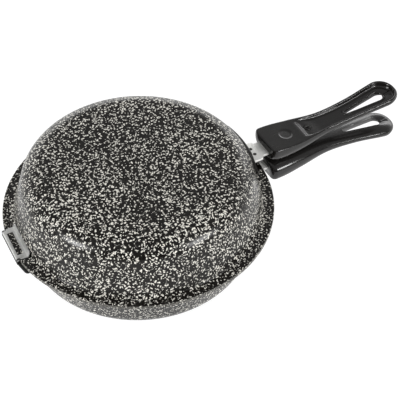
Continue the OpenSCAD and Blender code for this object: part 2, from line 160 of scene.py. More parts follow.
# %% [markdown]
# ## Speckled enamel
# The halves are black enamel with dense off-white flecks, each a few millimetres long, like grains
# of rice thrown at random. A noise that is cut off at one level would give blots of every size.
# Instead a Voronoi texture hands us a random point in each small cell, and a random colour, which
# we read as a random direction. A fleck is then a long grain round that point: the distance along
# the direction counts less than the distance across it. The place is first stirred by a noise, so
# that the grains bend. Two layers of grains, one finer than the other, cross here and there.
#
# A slow noise makes the grains a little fuller or slimmer from place to place. They are slimmer on the
# steep wall, and slimmest on the rim. The rim's very edge is paler and frayed: partly worn enamel and
# partly a painted highlight of the rim's thin bright line.

# %% Make the enamel
COARSE_GRAINS, FINE_GRAINS = (3.0, 0.72, 2.5), (2.5, 0.45, 2.6)
STEEP_FROM, STEEP_TO, RIM_WIDTH = 92.0, 112.0, 8.0


def grains(f, place, sizes, slimness):
    """1 inside the grains and 0 between them; sizes are cell, half width and length over width."""
    cell, half_width, stretch = sizes
    cells = f.node("TexVoronoi", {"feature": "F1"}, {"Vector": place, "Scale": 1 / cell},
        out="Position")
    tint = Value(f, cells.socket.node.outputs["Color"])
    way = f.vector("NORMALIZE", f.vector("SUBTRACT", tint, (0.5, 0.5, 0.5)))
    away = f.vector("SUBTRACT", place, cells)
    lengthwise = f.vector("DOT_PRODUCT", away, way, out="Value")
    squared = f.vector("DOT_PRODUCT", away, away, out="Value")
    gap = squared - lengthwise * lengthwise * (1 - 1 / stretch ** 2)
    return f.step(gap * slimness, (half_width * 1.25) ** 2, (half_width * 0.75) ** 2)


def speckled_enamel():
    f = Finish("speckled_enamel")
    place = f.vector("SCALE", f.place, Scale=1000)
    stir = f.node("TexNoise", None, {"Vector": place, "Scale": 0.42, "Detail": 1.0}, out="Color")
    place = f.vector("ADD", place, f.vector("SCALE", f.vector("SUBTRACT", stir, (0.5, 0.5, 0.5)), Scale=2.6))
    shifted = f.vector("ADD", place, (31.7, 11.3, 57.1))
    radius = f.vector("LENGTH", f.vector("MULTIPLY", f.place, (1, 1, 0)), out="Value")
    on_wall = f.step(radius, STEEP_FROM * MM, STEEP_TO * MM)
    on_rim = f.step(radius, (FLANGE_R - RIM_WIDTH) * MM, (FLANGE_R - RIM_WIDTH + 2) * MM)
    slimness = f.step(f.noise(75.0, detail=1.0), 0.38, 0.62, 1.1, 0.85) + on_wall * 0.22 + on_rim * 0.5
    coarse = grains(f, place, COARSE_GRAINS, slimness)
    fleck = coarse.maths("MAXIMUM", coarse, grains(f, shifted, FINE_GRAINS, slimness))
    tone, frays = f.noise(6.0), f.noise(0.7)
    black = f.mix(tone, (0.0022, 0.0017, 0.0011), (0.0058, 0.0046, 0.0032))
    white = f.mix(tone, (0.80, 0.77, 0.69), (0.96, 0.94, 0.87))
    color = f.mix(fleck, black, white)
    # painted highlight: the flange's outermost half millimetre is mixed towards pale grey, partly as worn
    # enamel and partly to paint the rim's thin bright line
    edge = f.step(radius, (FLANGE_R - 0.5) * MM, (FLANGE_R - 0.1) * MM) * f.step(frays, 0.4, 0.6)
    color = f.mix(edge * 0.6, color, (0.34, 0.33, 0.30))
    gloss = 0.27 + fleck * 0.08 + (tone - 0.5) * 0.1 + edge * 0.05
    ripple = f.noise(9.0, detail=1.0)
    relief = f.bump(fleck * 0.6 + ripple * 0.7, 0.09)
    return f.shine(Base_Color=color, Roughness=gloss, Normal=relief, Specular_IOR_Level=0.33)


ENAMEL = speckled_enamel()
print("made", ENAMEL.name)

# %% [markdown]
# ## Moulded black handle
# The handles are thermosetting resin, pressed hot in a polished mould: nearly black, slightly
# brown, glossy but never a mirror. The surface keeps a faint orange-peel ripple and fine rubbing
# marks, which is what makes its highlights long and soft.

# %% Make the handle resin
def pressed_resin():
    f = Finish("pressed_resin")
    cloud = f.noise(18.0, detail=3.0)
    peel = f.noise(1.6, detail=1.0)
    rub = f.noise(0.9, detail=4.0, roughness=0.7, place=f.vector("MULTIPLY", f.place, (0.12, 1, 1)))
    color = f.mix(cloud, (0.007, 0.0063, 0.0058), (0.014, 0.0128, 0.0119))
    color = f.mix(f.step(rub, 0.62, 0.8) * 0.35, color, (0.05, 0.047, 0.045))
    gloss = 0.2 + (cloud - 0.5) * 0.1 + f.step(rub, 0.5, 0.8) * 0.1
    relief = f.bump(peel * 0.8 + rub * 0.2, 0.03)
    return f.shine(Base_Color=color, Roughness=gloss, Normal=relief, Specular_IOR_Level=0.55)


RESIN = pressed_resin()
print("made", RESIN.name)

# %% [markdown]
# ## Metals and black paint
# The tongue is pale rolled steel with lengthwise rolling marks. The hinge and the nuts are zinc
# plated, which is softer and a little cloudy. The bracket and the lower hinge leaf are painted
# black. One function makes all the bare metals, because they differ only in colour, in how far
# the marks are drawn out and in gloss.

# %% Make the metals
def bare_metal(name, dark, pale, gloss, stretch=(1, 1, 1), size_mm=1.2, metallic=1.0):
    f = Finish(name)
    marks = f.noise(size_mm, detail=4.0, roughness=0.65, place=f.vector("MULTIPLY", f.place, stretch))
    cloud = f.noise(14.0, detail=3.0)
    spots = f.step(f.noise(3.0, detail=3.0), 0.66, 0.74)
    color = f.mix(f.step(marks * 0.5 + cloud * 0.5, 0.35, 0.65), dark, pale)
    color = f.mix(spots * 0.35, color, tuple(c * 0.55 for c in dark))
    rough = gloss + (marks - 0.5) * 0.2 + spots * 0.15
    return f.shine(Base_Color=color, Roughness=rough, Metallic=metallic, Normal=f.bump(marks, 0.012))


def black_paint(name, dark, gloss):
    f = Finish(name)
    grain = f.noise(1.1, detail=3.0)
    cloud = f.noise(16.0)
    color = f.mix(f.step(grain * 0.6 + cloud * 0.4, 0.3, 0.7), tuple(c * 0.6 for c in dark), dark)
    chips = f.step(f.noise(2.4, detail=4.0), 0.7, 0.74)
    color = f.mix(chips * 0.6, color, (0.16, 0.155, 0.15))
    return f.shine(Base_Color=color, Roughness=gloss + (grain - 0.5) * 0.2, Normal=f.bump(grain, 0.03),
        Specular_IOR_Level=0.45)


TONGUE_STEEL = bare_metal("rolled_steel", (0.90, 0.90, 0.87), (0.96, 0.96, 0.93), 0.5, (0.08, 1, 1),
    metallic=0.5)
ZINC = bare_metal("zinc_plate", (0.60, 0.60, 0.585), (0.84, 0.84, 0.82), 0.42, (1, 0.2, 1), 0.8)
RIVET = bare_metal("rivet_metal", (0.35, 0.35, 0.34), (0.62, 0.62, 0.60), 0.4)
SCREW = bare_metal("blackened_screw", (0.035, 0.034, 0.033), (0.09, 0.088, 0.085), 0.35)
PIN = bare_metal("hinge_pin_steel", (0.40, 0.40, 0.39), (0.60, 0.60, 0.59), 0.32, (1, 0.1, 1))
BRACKET = black_paint("bracket_black", (0.022, 0.021, 0.020), 0.3)
LEAF_BLACK = black_paint("leaf_black", (0.020, 0.019, 0.018), 0.35)
print("metals:", TONGUE_STEEL.name, ZINC.name, RIVET.name, SCREW.name, PIN.name)

# %% [markdown]
# ## Putting a drawn shape into the scene
# Each shape is a list of points and faces in a half's own frame: x along the handle, y across, h
# outwards from the rim plane, all in millimetres.

# %% Helpers that turn points into pieces
WELD = 1e-6


def add_object(name, data):
    thing = bpy.data.objects.new(name, data)
    bpy.context.scene.collection.objects.link(thing)
    return thing


def draw(name, shape):
    """A new object from points in millimetres, merged where they coincide, and faces."""
    points, faces = shape
    mesh = bpy.data.meshes.new(name)
    mesh.from_pydata([tuple(c * MM for c in p) for p in points], [], faces)
    made = bmesh.new()
    made.from_mesh(mesh)
    bmesh.ops.remove_doubles(made, verts=made.verts, dist=WELD)
    bmesh.ops.recalc_face_normals(made, faces=made.faces)
    made.to_mesh(mesh)
    made.free()
    return add_object(name, mesh)


def piece(name, shape, finish, body, node, smooth_angle):
    thing = draw(name, shape)
    mesh = thing.data
    mesh.polygons.foreach_set("use_smooth", [True] * len(mesh.polygons))
    mesh.set_sharp_from_angle(angle=radians(smooth_angle))
    mesh.materials.append(finish)
    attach(thing, body)
    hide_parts(node)
    print(name, len(mesh.polygons), "faces")
    return thing


def outward(half, shape):
    """The same shape, placed on the upper or the lower half."""
    points, faces = shape
    return [(x, y, RIM_Z / MM + HALVES[half] * h) for x, y, h in points], faces


def half_piece(half, name, shape, finish, node, smooth_angle):
    return piece(f"{half}_{name}", outward(half, shape), finish, f"{half}_half",
        f"{half}_{node}", smooth_angle)


# %% Helpers that draw outlines and join them into solids
def line(a, b, steps):
    return [(a[0] + (b[0] - a[0]) * k / steps, a[1] + (b[1] - a[1]) * k / steps) for k in range(steps + 1)]


def arc(centre, radius, start, end, steps):
    turns = [radians(start + (end - start) * k / steps) for k in range(steps + 1)]
    return [(centre[0] + radius * cos(t), centre[1] + radius * sin(t)) for t in turns]


def rounded_box(low, high, r, steps):
    """A rectangle between two opposite corners, with its corners rounded."""
    (x0, y0), (x1, y1) = low, high
    return arc((x1 - r, y1 - r), r, 0, 90, steps) + arc((x0 + r, y1 - r), r, 90, 180, steps) + \
        arc((x0 + r, y0 + r), r, 180, 270, steps) + arc((x1 - r, y0 + r), r, 270, 360, steps)


def loft(sections, closed=False):
    """Quads between rings of points; the two end rings are capped unless the loft is closed."""
    n = len(sections[0])
    points = [p for ring in sections for p in ring]
    rings = len(sections)
    faces = []
    for i in range(rings if closed else rings - 1):
        a, b = i * n, (i + 1) % rings * n
        faces += [(a + j, a + (j + 1) % n, b + (j + 1) % n, b + j) for j in range(n)]
    if not closed:
        faces += [tuple(range(n)), tuple(range((rings - 1) * n, rings * n))]
    return points, faces


def join(parts):
    points, faces = [], []
    for more_points, more_faces in parts:
        faces += [tuple(i + len(points) for i in q) for q in more_faces]
        points += more_points
    return points, faces


print("outlines: line, arc, rounded_box; solids: loft, join")

# %% [markdown]
# ## The two pan halves
# A pressed half is a shape of revolution, so we draw its section once and turn it round the axis:
# a flat base, a rounded shoulder, a wall that leans out, a small fillet, the flat rim flange and
# back along the inside, one sheet thickness away. The sheet's edges are rounded in the section,
# which gives the thin bright line at the rim. At the hinge, both rims are cut to a flat.

# %% Draw the section
RIM_R, BASE_R, CORNER_R, WALL_T = 120.0, 88.0, 23.0, 2.0
FLANGE_T, FLANGE_FILLET, LIP_R = 2.0, 1.6, 1.5
EDGE_TOP_R, EDGE_LOW_R, MIDDLE = 0.8, 0.35, 0.001
SHOULDER = (BASE_R, PAN_DEPTH - CORNER_R)
WALL_LEAN = acos(CORNER_R / hypot(RIM_R - BASE_R, SHOULDER[1])) - \
    atan2(SHOULDER[1], RIM_R - BASE_R)
LEAN = degrees(WALL_LEAN)


def off_wall(h, d):
    """Radius at height h of a place that lies d outside the leaning wall."""
    return RIM_R - h * tan(WALL_LEAN) + d / cos(WALL_LEAN)


def pan_section():
    """The sheet in (radius, height): from the middle along the outside, and back along the inside."""
    fillet = (off_wall(FLANGE_T + FLANGE_FILLET, FLANGE_FILLET), FLANGE_T + FLANGE_FILLET)
    lip = (off_wall(LIP_R, LIP_R - WALL_T), LIP_R)
    outside = line((MIDDLE, PAN_DEPTH), (BASE_R - 1, PAN_DEPTH), 10) + arc(SHOULDER, CORNER_R, 90, LEAN, 18)
    foot = arc(fillet, FLANGE_FILLET, 180 + LEAN, 270, 6)
    flange = arc((FLANGE_R - EDGE_TOP_R, FLANGE_T - EDGE_TOP_R), EDGE_TOP_R, 90, 0, 5) + \
        arc((FLANGE_R - EDGE_LOW_R, EDGE_LOW_R), EDGE_LOW_R, 0, -90, 3)
    inside = arc(lip, LIP_R, 270, 180 + LEAN, 6)
    inner_corner = arc(SHOULDER, CORNER_R - WALL_T, LEAN, 90, 16)
    base = line((BASE_R - 1, PAN_DEPTH - WALL_T), (MIDDLE, PAN_DEPTH - WALL_T), 10)
    wall_out = line(outside[-1], foot[0], 10)[1:-1]
    wall_in = line(inside[-1], inner_corner[0], 10)[1:-1]
    return outside + wall_out + foot + line(foot[-1], flange[0], 4)[1:-1] + flange + \
        line(flange[-1], inside[0], 4)[1:-1] + inside + wall_in + inner_corner + base


print(f"the wall leans out by {LEAN:.1f} degrees")

# %% Turn it round the axis
HINGE_SHIFT, HINGE_CUT = 4.5, 2.2
HINGE_AT = radians(180 - HINGE_SHIFT)
HINGE_OUT = Vector((cos(HINGE_AT), sin(HINGE_AT), 0))
FLAT_X = FLANGE_R - HINGE_CUT
PAN_STEPS = 240


def pan_shell():
    section = pan_section()
    rings = []
    for k in range(PAN_STEPS):
        t = 2 * pi * k / PAN_STEPS
        ring = []
        for r, h in section:
            p = Vector((r * cos(t), r * sin(t), h))
            past = p.dot(HINGE_OUT) - FLAT_X
            if past > 0:
                p -= HINGE_OUT * past
            ring.append(tuple(p))
        rings.append(ring)
    points, faces = loft(rings, closed=True)
    n = len(section)
    # the section is open at the axis: leave out the strip that would join its two ends
    faces = [q for q in faces if q[0] % n != n - 1]
    caps = [tuple(k * n + end for k in range(PAN_STEPS)) for end in (0, n - 1)]
    return points, faces + caps


for half in HALVES:
    half_piece(half, "pan_shell", pan_shell(), ENAMEL, "pan", 50)

# %% [markdown]
# ## The bracket: curved plate and shelf
# A curved plate hugs the wall and carries a shelf for the steel tongue. The plate is a loft: the
# same rounded section, stepped round the pan's axis, with its first and last steps pulled in so
# that its ends are rounded as well. In the photograph it is the dark strip beside the wall.

# %% Build the curved plates
PLATE_T, PLATE_ARC, PLATE_LOW, PLATE_HIGH = 3.2, 25.0, 5.0, 35.0
PLATE_ROUND, PLATE_END_R, PLATE_STEPS, WALL_GAP = 0.7, 3.0, 40, 0.02
SHELF_REACH, SHELF_HALF, SHELF_T, SHELF_ROUND = FLANGE_R + 3, 12.0, 2.5, 0.4
SHELF_STATIONS = ((RIM_R - 1, 0), (SHELF_REACH - 3, 0), (SHELF_REACH - 1.2, 0.5), (SHELF_REACH - 0.3, 1.4),
    (SHELF_REACH, 2.4))
TONGUE_TOP, TONGUE_T = 11.0, 2.5


def plate_section(low, high):
    """A bar in (distance off the wall, height), with larger rounds on its outer side."""
    inner, outer, r, small = WALL_GAP, PLATE_T, PLATE_ROUND, PLATE_ROUND / 3
    return arc((outer - r, high - r), r, 90, 0, 3) + arc((outer - r, low + r), r, 0, -90, 3) + \
        arc((inner + small, low + small), small, 270, 180, 2) + \
        arc((inner + small, high - small), small, 180, 90, 2)


def curved_plate():
    rings = []
    sweep = radians(PLATE_ARC)
    for k in range(PLATE_STEPS + 1):
        t = sweep * (k / PLATE_STEPS - 0.5)
        from_end = min(k, PLATE_STEPS - k) * sweep / PLATE_STEPS * RIM_R
        inside = max(0, PLATE_END_R - from_end)
        tuck = PLATE_END_R - sqrt(max(0, PLATE_END_R ** 2 - inside ** 2))
        section = plate_section(PLATE_LOW + tuck, PLATE_HIGH - tuck)
        rings.append([(off_wall(h, d) * cos(t), off_wall(h, d) * sin(t), h) for d, h in section])
    return loft(rings)


def shelf():
    top = TONGUE_TOP - TONGUE_T
    rings = []
    for x, tuck in SHELF_STATIONS:
        wide = SHELF_HALF - tuck
        section = rounded_box((-wide, top - SHELF_T), (wide, top), SHELF_ROUND, 2)
        rings.append([(x, y, h) for y, h in section])
    return loft(rings)


for half in HALVES:
    bracket = join([curved_plate(), shelf()])
    half_piece(half, "wall_plate", bracket, BRACKET, "mount_plate", 40)

# %% [markdown]
# ## The steel tongue
# The tongue is a flat strip, wider at the pan and narrower inside the handle. Its outline is
# drawn in plan and swept up through its thickness in six levels, the outer ones pulled in by a
# few tenths of a millimetre. That rounds the cut edges, which is where sheet metal catches light.

# %% Build the tongues
TONGUE_ROOT_HALF, TONGUE_HALF, TONGUE_CORNER = 13.0, 9.5, 0.8
TONGUE_NECK = HANDLE_START - 4
TONGUE_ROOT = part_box("upper_tongue")[0].x / MM
TONGUE_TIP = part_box("upper_tongue")[1].x / MM
CUT_EDGE = ((0, 0.45), (0.12, 0.15), (0.4, 0))


def soft(value, low, high):
    """0 up to low and 1 from high on, on a curve that starts and ends level."""
    t = min(1, max(0, (value - low) / (high - low)))
    return t * t * (3 - 2 * t)


def tongue_outline(tuck):
    """The tongue in plan, pulled in by tuck on every side."""
    root, wide, slim = TONGUE_ROOT + tuck, TONGUE_ROOT_HALF - tuck, TONGUE_HALF - tuck
    side = [(root, wide - TONGUE_CORNER), (root + TONGUE_CORNER, wide), (SHELF_REACH - 5, wide),
        (SHELF_REACH - 3.2, wide - 0.25)]
    for k in range(1, 7):
        x = SHELF_REACH - 2 + (TONGUE_NECK - SHELF_REACH) * k / 6
        side.append((x, wide + (slim - wide) * soft(k, 0, 6)))
    side += [(TONGUE_NECK + 2, slim)] + arc((TONGUE_TIP - TONGUE_HALF, 0), slim, 90, 0, 10)
    return side + [(x, -y) for x, y in side[-2::-1]]


levels = [*CUT_EDGE, *((TONGUE_T - up, tuck) for up, tuck in reversed(CUT_EDGE))]
under = TONGUE_TOP - TONGUE_T
rings = [[(x, y, under + up) for x, y in tongue_outline(tuck)] for up, tuck in levels]
for half in HALVES:
    half_piece(half, "steel_tongue", loft(rings), TONGUE_STEEL, "tongue", 35)

# %% [markdown]
# ## Rivets
# Rivets are shapes of revolution, so a lathe is enough: a section of (radius, height) turned round
# an axis. The axis may lean, because the wall rivets stand square to the leaning wall. Both ends
# have a low dome, which is what a set rivet looks like, and which shows a highlight.

# %% A lathe, and the rivets made on it
WALL_RIVET_R, WALL_RIVET_HEAD_R, WALL_RIVET_HEAD_T = 2.4, 4.5, 1.6
WALL_RIVET_H, WALL_RIVET_TURN = 23.0, 6.5
TONGUE_RIVET_R, TONGUE_RIVET_HEAD_R, TONGUE_RIVET_HEAD_T = 1.1, 1.8, 0.7
TONGUE_RIVET_X, TONGUE_RIVET_Y = 127.0, 4.0
AXIS_R = 0.02


def lathe(section, steps, at, turn=None):
    turn = turn or Matrix.Identity(3)
    rings = []
    for r, h in section:
        around = [2 * pi * k / steps for k in range(steps)]
        ring = [turn @ Vector((r * cos(t), r * sin(t), h)) for t in around]
        rings.append([tuple(p + Vector(at)) for p in ring])
    return loft(rings)


def dome(r, t, low=0.0):
    """Section of a low domed head of radius r and height t that starts at height low."""
    ball = (r * r + t * t) / (2 * t)
    half = degrees(asin(min(1, r / ball)))
    return [(max(x, AXIS_R), low + t - ball + y) for x, y in arc((0, 0), ball, 90 - half, 90, 8)]


def rivet_section(shank_r, head_r, head_t, low, high):
    """A shank from low to high with a domed head at each end."""
    under = [(r, low - h) for r, h in reversed(dome(head_r, head_t))]
    return under + [(shank_r, low), (shank_r, high)] + dome(head_r, head_t, high)


def wall_rivet(side):
    turn = Matrix.Rotation(radians(side * WALL_RIVET_TURN), 3, "Z")
    lean = turn @ Matrix.Rotation(pi / 2 - WALL_LEAN, 3, "Y")
    at = turn @ Vector((off_wall(WALL_RIVET_H, 0), 0, WALL_RIVET_H))
    section = rivet_section(WALL_RIVET_R, WALL_RIVET_HEAD_R, WALL_RIVET_HEAD_T, -WALL_T, PLATE_T)
    return lathe(section, 32, at, lean)


def tongue_rivet(side):
    section = rivet_section(TONGUE_RIVET_R, TONGUE_RIVET_HEAD_R, TONGUE_RIVET_HEAD_T,
        TONGUE_TOP - TONGUE_T - SHELF_T, TONGUE_TOP)
    return lathe(section, 24, (TONGUE_RIVET_X, side * TONGUE_RIVET_Y, 0))


for half in HALVES:
    pair = join([wall_rivet(-1), wall_rivet(1)])
    half_piece(half, "wall_rivets", pair, RIVET, "plate_rivets", 40)
    pair = join([tongue_rivet(-1), tongue_rivet(1)])
    half_piece(half, "small_rivets", pair, SCREW, "tongue_rivets", 40)

# %% [markdown]
# ## The screw that holds the handle
# A cross-recessed pan head sits on a thin washer at the bottom of a round hole. The cross is cut
# with a boolean, because a recess that narrows downwards is awkward to draw as a lathe; the head
# itself is a lathe with a rounded top edge.

# %% Draw the screw
SCREW_R, SCREW_HEAD_R, SCREW_HEAD_T, HEAD_ROUND, HEAD_FLAT_R = 2.5, 3.7, 1.9, 0.7, 1.4
WASHER_R, WASHER_T, SCREW_SEAT = 3.9, 0.5, TONGUE_TOP + 1.2
NUT_W, NUT_T, NUT_ROUND = 8.0, 2.8, 0.5
CROSS_HALF_LEN, CROSS_HALF_W, CROSS_FLOOR = 2.1, 0.4, 0.7
SCREW_TIP_H = TONGUE_TOP - TONGUE_T - NUT_T
SCREW_HEAD_H = SCREW_SEAT + WASHER_T


def combine(thing, tool, operation):
    """Joins tool to thing or cuts it away for good, and throws the tool away."""
    modifier = thing.modifiers.new(operation.lower(), "BOOLEAN")
    modifier.operation, modifier.object, modifier.solver = operation, tool, "EXACT"
    graph = bpy.context.evaluated_depsgraph_get()
    mesh = bpy.data.meshes.new_from_object(thing.evaluated_get(graph))
    thing.modifiers.remove(modifier)
    thing.data = mesh
    bpy.data.objects.remove(tool)


def screw_section():
    """Shank with a chamfered tip, and a pan head with a rounded top edge."""
    top = SCREW_HEAD_H + SCREW_HEAD_T
    crown = arc((SCREW_HEAD_R - HEAD_ROUND, top - HEAD_ROUND), HEAD_ROUND, 0, 80, 5)
    return [(AXIS_R, SCREW_TIP_H), (SCREW_R - 0.4, SCREW_TIP_H), (SCREW_R, SCREW_TIP_H + 0.4),
        (SCREW_R, SCREW_HEAD_H), (SCREW_HEAD_R - 0.15, SCREW_HEAD_H), (SCREW_HEAD_R, SCREW_HEAD_H + 0.15)] + \
        crown + [(HEAD_FLAT_R, top), (AXIS_R, top)]


def cross_bar(turn):
    """One bar of the cross, wider at the top than at its floor."""
    spin = Matrix.Rotation(radians(turn), 3, "Z")
    x, y = CROSS_HALF_LEN, CROSS_HALF_W
    corners = [(x, y), (-x, y), (-x, -y), (x, -y)]
    rings = []
    for h, scale in ((SCREW_HEAD_H + CROSS_FLOOR, 0.6), (SCREW_HEAD_H + SCREW_HEAD_T + 0.3, 1.1)):
        ring = [spin @ Vector((a * scale, b * scale, 0)) for a, b in corners]
        rings.append([tuple(p + Vector((SCREW_X, 0, h))) for p in ring])
    return loft(rings)


print(f"screw from {SCREW_TIP_H:.1f} to {SCREW_HEAD_H + SCREW_HEAD_T:.1f} mm above the rim plane")

# %% [markdown]
# ## Washer and nut
# The washer is a ring, so its section goes round the screw and meets itself again. The nut is
# square, with rounded corners and slightly smaller faces at top and bottom, which stand for the
# chamfer of a stamped nut. It is out of sight inside the handle.

# %% Build screws, washers and nuts
def washer():
    low, high, inner = SCREW_SEAT, SCREW_SEAT + WASHER_T, SCREW_R + 0.15
    section = [(inner, low), (WASHER_R - 0.1, low), (WASHER_R, low + 0.1), (WASHER_R, high - 0.1),
        (WASHER_R - 0.1, high), (inner, high)]
    around = [2 * pi * k / 40 for k in range(40)]
    rings = [[(SCREW_X + r * cos(t), r * sin(t), h) for r, h in section] for t in around]
    return loft(rings, closed=True)


def nut():
    outline = rounded_box((-NUT_W / 2, -NUT_W / 2), (NUT_W / 2, NUT_W / 2), NUT_ROUND, 3)
    return loft([[(SCREW_X + x * scale, y * scale, SCREW_TIP_H + up) for x, y in outline]
        for up, scale in ((0, 0.96), (0.25, 1), (NUT_T - 0.25, 1), (NUT_T, 0.96))])


for half in HALVES:
    turned = lathe(screw_section(), 40, (SCREW_X, 0, 0))
    screw = half_piece(half, "screw", turned, SCREW, "handle_screw", 35)
    for turn in (0, 90):
        combine(screw, draw("cross", outward(half, cross_bar(turn))), "DIFFERENCE")
    half_piece(half, "washer", washer(), ZINC, "screw_washer", 35)
    half_piece(half, "nut", nut(), ZINC, "square_nut", 35)

# %% [markdown]
# ## The moulded handles
# The handle is the piece that the eye goes to: wide and flat beside the pan, waisted in the
# middle, and a loop with a keyhole slot at the end. Its outer face is sunk inside a raised rim.
# We draw a dense mesh straight from a height function: lines run across half of the handle, from
# the middle (or the slot's edge) to the outline, and each line carries the whole section - sunk
# floor, rim, rounded side, crown. Because the recess is part of the height function, its edges
# are rounded, as a moulding's are. A boolean would give knife edges. Mirroring makes the other
# half of the handle.

# %% The long curves: half width, outer height and crown height
CORNER_ROUND, JUST_INSIDE, ROUNDNESS, SIDE_DEPTH = 5.0, 0.999, 0.82, 0.3
END_HALF, WAIST_HALF, LOOP_HALF = 20.4, 13.8, 17.4
WAIST_X = HANDLE_START + (HANDLE_END - HANDLE_START) * 0.44
LOOP_X = HANDLE_END - LOOP_HALF
HALF_WIDTH, OUTER, CROWN = 1, 2, 3
STATIONS = [
    (HANDLE_START, END_HALF - 0.4, 19.6, 1.6),
    (HANDLE_START + 16, END_HALF, 18.4, 1.0),
    (HANDLE_START + 36, END_HALF - 1.9, 17.1, 2.1),
    (WAIST_X, WAIST_HALF, 16.7, 6.0),
    ((WAIST_X + LOOP_X) / 2, (WAIST_HALF + LOOP_HALF) / 2 - 1.2, 19.35, 10.8),
    (LOOP_X, LOOP_HALF, 24.2, 14.6),
    (HANDLE_END, LOOP_HALF, 25.6, 15.2),
]


def along(x, k):
    """Half width, outer height or crown height at x, on one smooth curve through the stations."""
    i = 1
    while i < len(STATIONS) - 1 and x > STATIONS[i][0]:
        i += 1
    slope = []
    for j in (i - 1, i):
        a, b = STATIONS[max(j - 1, 0)], STATIONS[min(j + 1, len(STATIONS) - 1)]
        slope.append((b[k] - a[k]) / (b[0] - a[0]))
    a, b = STATIONS[i - 1], STATIONS[i]
    d = b[0] - a[0]
    u = (x - a[0]) / d
    return (a[k] * (1 - 3 * u * u + 2 * u ** 3) + b[k] * (3 * u * u - 2 * u ** 3) +
        slope[0] * d * (u - 2 * u * u + u ** 3) + slope[1] * d * (u ** 3 - u * u))


def near_half(x):
    """Half width in plan, with the corners beside the pan rounded off."""
    d = min(CORNER_ROUND, x - HANDLE_START)
    bulge = sqrt(CORNER_ROUND ** 2 - (CORNER_ROUND - d) ** 2)
    return along(x, HALF_WIDTH) - CORNER_ROUND + bulge * JUST_INSIDE


print(f"handle from x = {HANDLE_START:.1f} to {HANDLE_END:.1f} mm, waist at {WAIST_X:.1f} mm")

# %% [markdown]
# The keyhole slot is two circles joined by straight sides. Two questions are asked of it: how wide
# it is at x, and how far a point lies from its edge.

# %% The keyhole slot
SLOT_START, SLOT_END, SLOT_NARROW, SLOT_WIDE = 236.5, HANDLE_END - 21, 2.2, 5.8
SLOT_LEN, SLOT_GROWS = SLOT_END - SLOT_START, SLOT_WIDE - SLOT_NARROW


def slot_half(x):
    """Half width of the keyhole slot at x, or 0 outside it."""
    turn = asin(SLOT_GROWS / SLOT_LEN)
    near, far = SLOT_START - SLOT_NARROW * sin(turn), SLOT_END - SLOT_WIDE * sin(turn)
    if x < SLOT_START - SLOT_NARROW or x > SLOT_END + SLOT_WIDE:
        return 0
    if x < near:
        return sqrt(SLOT_NARROW ** 2 - (x - SLOT_START) ** 2)
    if x > far:
        return sqrt(SLOT_WIDE ** 2 - (x - SLOT_END) ** 2)
    t = (x - near) / (far - near)
    return (SLOT_NARROW + SLOT_GROWS * t) * cos(turn)


def slot_gap(x, y):
    """Distance from the slot's edge, nearly exact; less than 0 inside the slot."""
    t = min(1, max(0, (x - SLOT_START) / SLOT_LEN))
    return hypot(x - SLOT_START - t * SLOT_LEN, y) - SLOT_NARROW - t * SLOT_GROWS


print(f"slot {SLOT_LEN + SLOT_NARROW + SLOT_WIDE:.1f} mm long")

# %% [markdown]
# The outer face is the rim's height, less the recess, plus a collar round the slot, less the round
# dimple on the pad. The recess has a rounded edge, a steep wall and a rounded foot. Its depth grows
# towards the loop, and the dimple leans, so that it is deepest on the side of the loop.

# %% The height of the outer face
RIM_WALL, RECESS_NEAR, RECESS_DEPTH, RECESS_LOOP = 3.2, 2.2, 3.6, 5.2
RECESS_START, RECESS_ROUND, RECESS_END_SLOPE = SCREW_X - 7.5, 4.0, 4.0
COLLAR, COLLAR_T, SLOT_LIP = 2.4, 1.2, 0.5
WALL_EDGE_R, WALL_FOOT_R, WALL_SLANT = 1.4, 1.8, 0.2
DIMPLE_X, DIMPLE_R, DIMPLE_DEPTH, DIMPLE_LEAN, DIMPLE_EDGE = HANDLE_START + 24.5, 7.4, 0.9, 0.7, 1.8


def inside_recess(x, y):
    """How far the point lies inside the outline of the sunk floor."""
    if x < LOOP_X:
        side = along(x, HALF_WIDTH) - RIM_WALL - y
    else:
        side = LOOP_HALF - RIM_WALL - hypot(x - LOOP_X, y)
    end = (x - RECESS_START) / RECESS_END_SLOPE
    if side < RECESS_ROUND and end < RECESS_ROUND:
        return RECESS_ROUND - hypot(RECESS_ROUND - side, RECESS_ROUND - end)
    return min(side, end)


def wall_drop(inside, deep):
    """Depth below the rim: a rounded edge, a steep wall and a rounded foot, as in a mould."""
    edge, foot = min(WALL_EDGE_R, deep / 2), min(WALL_FOOT_R, deep / 2)
    if inside <= -edge:
        return 0
    if inside <= 0:
        return edge - sqrt(edge ** 2 - (inside + edge) ** 2)
    if inside <= WALL_SLANT:
        return edge + (deep - edge - foot) * inside / WALL_SLANT
    past = max(0, WALL_SLANT + foot - inside)
    return deep - foot + sqrt(foot ** 2 - past ** 2)


def outer_height(x, y):
    """Height of the handle's outer face: its rim, sunk floor, collar round the slot and dimple."""
    top = along(min(x, HANDLE_END), OUTER)
    deep = RECESS_NEAR + (RECESS_DEPTH - RECESS_NEAR) * soft(x, SCREW_X - 2, SCREW_X + 14) + \
        (RECESS_LOOP - RECESS_DEPTH) * min(1, max(0, (x - WAIST_X) / (LOOP_X - WAIST_X)))
    collar = COLLAR_T * (1 - soft(slot_gap(x, y), COLLAR - 0.6, COLLAR + 0.3))
    sunk = wall_drop(inside_recess(x, y), deep - collar)
    lip = SLOT_LIP * (1 - soft(slot_gap(x, y), -0.05, 0.6))
    slant = 1 + DIMPLE_LEAN * (x - DIMPLE_X) / DIMPLE_R
    pressed = 1 - soft(hypot(x - DIMPLE_X, y), DIMPLE_R - DIMPLE_EDGE, DIMPLE_R)
    return top - sunk - lip - DIMPLE_DEPTH * slant * pressed


print(f"pad {outer_height(DIMPLE_X, DIMPLE_R + 1):.1f} mm above the rim plane")

# %% [markdown]
# The lines across the handle are spaced closely where the shape changes fast: at both ends, at
# the dimple, at the start of the recess and at the slot's two ends. Round the loop they fan out.

